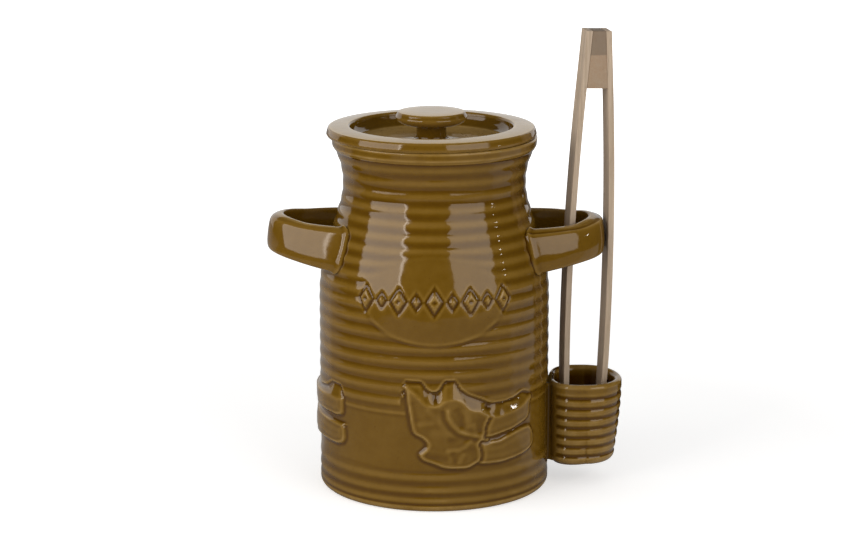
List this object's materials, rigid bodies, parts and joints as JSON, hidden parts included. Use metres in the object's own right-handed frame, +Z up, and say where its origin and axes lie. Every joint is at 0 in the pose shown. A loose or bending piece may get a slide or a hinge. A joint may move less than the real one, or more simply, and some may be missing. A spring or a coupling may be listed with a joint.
{
  "type": "olive jar",
  "caption": "Ribbed stoneware jar with two loop ears, a knobbed dished lid, and a cup on its side that holds wooden tongs.",
  "frame": {"origin": "centre of the jar's foot, on the surface that it stands on", "axes": "+Z up along the jar's axis; -Y is the front, with the leaf; +X points to the cup and its tongs"},
  "size_m": [0.1945, 0.127, 0.2508],
  "materials": {
    "olive_glaze": "glossy",
    "pale_wood": "matt, unvarnished"
  },
  "bodies": {
    "jar": {"jar_body": "olive_glaze", "left_ear": "olive_glaze", "right_ear": "olive_glaze", "tongs_cup": "olive_glaze"},
    "lid": {"lid": "olive_glaze", "lid_knob": "olive_glaze"},
    "tongs": {"tongs_block": "pale_wood", "tongs_outer_arm": "pale_wood"},
    "inner_arm": {"tongs_inner_arm": "pale_wood"}
  },
  "joints": [
    {"name": "lid_lift", "type": "slide", "parent": "jar", "child": "lid", "axis": [0, 0, 1], "range_m": [0, 0.08]},
    {"name": "tongs_lift", "type": "slide", "parent": "jar", "child": "tongs", "axis": [0.0465, 0.0074, 0.9989], "range_m": [0, 0.2]},
    {"name": "inner_arm_squeeze", "type": "hinge", "parent": "tongs", "child": "inner_arm", "pos_m": [0.08062, -0.00006, 0.21983], "axis": [0.1564, -0.9877, 0], "range_deg": [0, 3.5], "stiffness_Nm_per_rad": 2}
  ]
}
